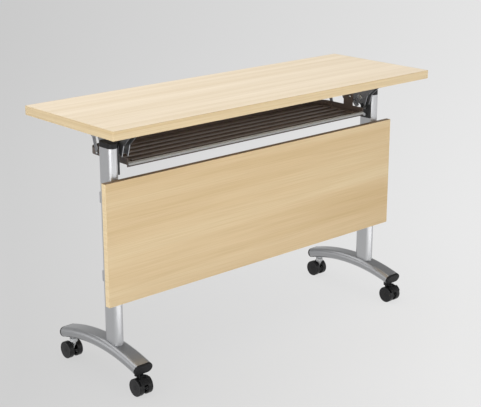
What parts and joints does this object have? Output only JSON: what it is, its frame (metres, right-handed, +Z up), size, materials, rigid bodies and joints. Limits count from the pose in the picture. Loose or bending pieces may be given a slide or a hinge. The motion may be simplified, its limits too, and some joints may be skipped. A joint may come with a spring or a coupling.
{
  "type": "training table",
  "caption": "Flip-top training table: pale wood top and modesty panel on silver columns with arched feet, book tray under the top, latches, and swivel casters",
  "frame": {"origin": "on the floor under the centre of the work top", "axes": "+X along the table's length, +Y towards the user's side away from the modesty panel, +Z up"},
  "size_m": [1.2, 0.4, 0.75],
  "materials": {
    "maple_laminate": "pale maple laminate, satin",
    "maple_edge_band": "maple edge band, satin",
    "silver_steel": "silver grey powder coat",
    "black_moulding": "black moulded plastic",
    "grey_steel": "grey powder coat",
    "black_steel": "black powder coat",
    "zinc_steel": "bright zinc plate",
    "insert_brass": "plain brass",
    "bush_plastic": "natural bearing plastic",
    "lever_plastic": "grey moulded plastic",
    "tray_plastic": "black brown moulded plastic",
    "trim_plastic": "light grey trim",
    "caster_plastic": "black moulded nylon",
    "caster_grey": "pale grey moulded nylon",
    "axle_steel": "plain steel",
    "wheel_plastic": "black nylon wheel"
  },
  "bodies": {
    "frame": {"left_column": "silver_steel", "right_column": "silver_steel", "left_column_cap": "black_moulding", "right_column_cap": "black_moulding", "left_foot": "silver_steel", "right_foot": "silver_steel", "left_foot_front_cap": "black_moulding", "left_foot_rear_cap": "black_moulding", "right_foot_front_cap": "black_moulding", "right_foot_rear_cap": "black_moulding", "modesty_panel": "maple_laminate", "panel_edge_band": "maple_edge_band", "panel_saddles": "silver_steel", "panel_bolts": "zinc_steel", "panel_inserts": "insert_brass", "left_head_bracket": "black_steel", "right_head_bracket": "black_steel", "head_bolts": "zinc_steel", "left_pivot_bolt": "zinc_steel", "right_pivot_bolt": "zinc_steel", "catch_pins": "zinc_steel", "caster_sockets": "zinc_steel", "caster_stems": "zinc_steel"},
    "flip_top": {"table_top": "maple_laminate", "top_edge_band": "maple_edge_band", "left_swing_arm": "grey_steel", "right_swing_arm": "grey_steel", "left_pivot_bush": "bush_plastic", "right_pivot_bush": "bush_plastic", "left_brace": "grey_steel", "right_brace": "grey_steel", "arm_screws": "zinc_steel", "brace_screws": "zinc_steel", "book_tray": "tray_plastic", "tray_front_trim": "trim_plastic", "tray_screws": "zinc_steel", "latch_pins": "zinc_steel", "left_latch_spring": "zinc_steel", "right_latch_spring": "zinc_steel"},
    "left_latch": {"left_latch_lever": "lever_plastic"},
    "right_latch": {"right_latch_lever": "lever_plastic"},
    "front_left_caster": {"front_left_caster_yoke": "caster_plastic", "front_left_caster_axle": "axle_steel"},
    "front_left_left_roller": {"front_left_left_wheel": "wheel_plastic"},
    "front_left_right_roller": {"front_left_right_wheel": "wheel_plastic"},
    "front_left_brake": {"front_left_brake_pedal": "caster_plastic"},
    "front_right_caster": {"front_right_caster_yoke": "caster_plastic", "front_right_caster_axle": "axle_steel"},
    "front_right_left_roller": {"front_right_left_wheel": "wheel_plastic"},
    "front_right_right_roller": {"front_right_right_wheel": "wheel_plastic"},
    "front_right_brake": {"front_right_brake_pedal": "caster_plastic"},
    "rear_left_caster": {"rear_left_caster_yoke": "caster_grey", "rear_left_caster_axle": "axle_steel"},
    "rear_left_left_roller": {"rear_left_left_wheel": "wheel_plastic"},
    "rear_left_right_roller": {"rear_left_right_wheel": "wheel_plastic"},
    "rear_right_caster": {"rear_right_caster_yoke": "caster_grey", "rear_right_caster_axle": "axle_steel"},
    "rear_right_left_roller": {"rear_right_left_wheel": "wheel_plastic"},
    "rear_right_right_roller": {"rear_right_right_wheel": "wheel_plastic"}
  },
  "joints": [
    {"name": "top_flip", "type": "hinge", "parent": "frame", "child": "flip_top", "pos_m": [0, -0.046, 0.66], "axis": [1, 0, 0], "range_deg": [0, 90]},
    {"name": "left_latch_pull", "type": "hinge", "parent": "flip_top", "child": "left_latch", "pos_m": [-0.469, 0.012, 0.69], "axis": [1, 0, 0], "range_deg": [0, 12], "stiffness_Nm_per_rad": 0.5, "springref_deg": -17.19, "deforming": ["left_latch_spring"]},
    {"name": "right_latch_pull", "type": "hinge", "parent": "flip_top", "child": "right_latch", "pos_m": [0.469, 0.012, 0.69], "axis": [1, 0, 0], "range_deg": [0, 12], "stiffness_Nm_per_rad": 0.5, "springref_deg": -17.19, "deforming": ["right_latch_spring"]},
    {"name": "front_left_swivel", "type": "hinge", "parent": "frame", "child": "front_left_caster", "pos_m": [-0.505, -0.147, 0.0617], "axis": [0, 0, 1], "continuous": true},
    {"name": "front_left_left_roll", "type": "hinge", "parent": "front_left_caster", "child": "front_left_left_roller", "pos_m": [-0.5195, -0.159, 0.025], "axis": [1, 0, 0], "continuous": true},
    {"name": "front_left_right_roll", "type": "hinge", "parent": "front_left_caster", "child": "front_left_right_roller", "pos_m": [-0.4905, -0.159, 0.025], "axis": [1, 0, 0], "continuous": true},
    {"name": "front_left_brake_press", "type": "hinge", "parent": "front_left_caster", "child": "front_left_brake", "pos_m": [-0.505, -0.16524, 0.05434], "axis": [1, 0, 0], "range_deg": [0, 7]},
    {"name": "front_right_swivel", "type": "hinge", "parent": "frame", "child": "front_right_caster", "pos_m": [0.505, -0.147, 0.0617], "axis": [0, 0, 1], "continuous": true},
    {"name": "front_right_left_roll", "type": "hinge", "parent": "front_right_caster", "child": "front_right_left_roller", "pos_m": [0.4905, -0.159, 0.025], "axis": [1, 0, 0], "continuous": true},
    {"name": "front_right_right_roll", "type": "hinge", "parent": "front_right_caster", "child": "front_right_right_roller", "pos_m": [0.5195, -0.159, 0.025], "axis": [1, 0, 0], "continuous": true},
    {"name": "front_right_brake_press", "type": "hinge", "parent": "front_right_caster", "child": "front_right_brake", "pos_m": [0.505, -0.16524, 0.05434], "axis": [1, 0, 0], "range_deg": [0, 7]},
    {"name": "rear_left_swivel", "type": "hinge", "parent": "frame", "child": "rear_left_caster", "pos_m": [-0.505, 0.159, 0.0617], "axis": [0, 0, 1], "continuous": true},
    {"name": "rear_left_left_roll", "type": "hinge", "parent": "rear_left_caster", "child": "rear_left_left_roller", "pos_m": [-0.5195, 0.171, 0.025], "axis": [1, 0, 0], "continuous": true},
    {"name": "rear_left_right_roll", "type": "hinge", "parent": "rear_left_caster", "child": "rear_left_right_roller", "pos_m": [-0.4905, 0.171, 0.025], "axis": [1, 0, 0], "continuous": true},
    {"name": "rear_right_swivel", "type": "hinge", "parent": "frame", "child": "rear_right_caster", "pos_m": [0.505, 0.159, 0.0617], "axis": [0, 0, 1], "continuous": true},
    {"name": "rear_right_left_roll", "type": "hinge", "parent": "rear_right_caster", "child": "rear_right_left_roller", "pos_m": [0.4905, 0.171, 0.025], "axis": [1, 0, 0], "continuous": true},
    {"name": "rear_right_right_roll", "type": "hinge", "parent": "rear_right_caster", "child": "rear_right_right_roller", "pos_m": [0.5195, 0.171, 0.025], "axis": [1, 0, 0], "continuous": true}
  ]
}
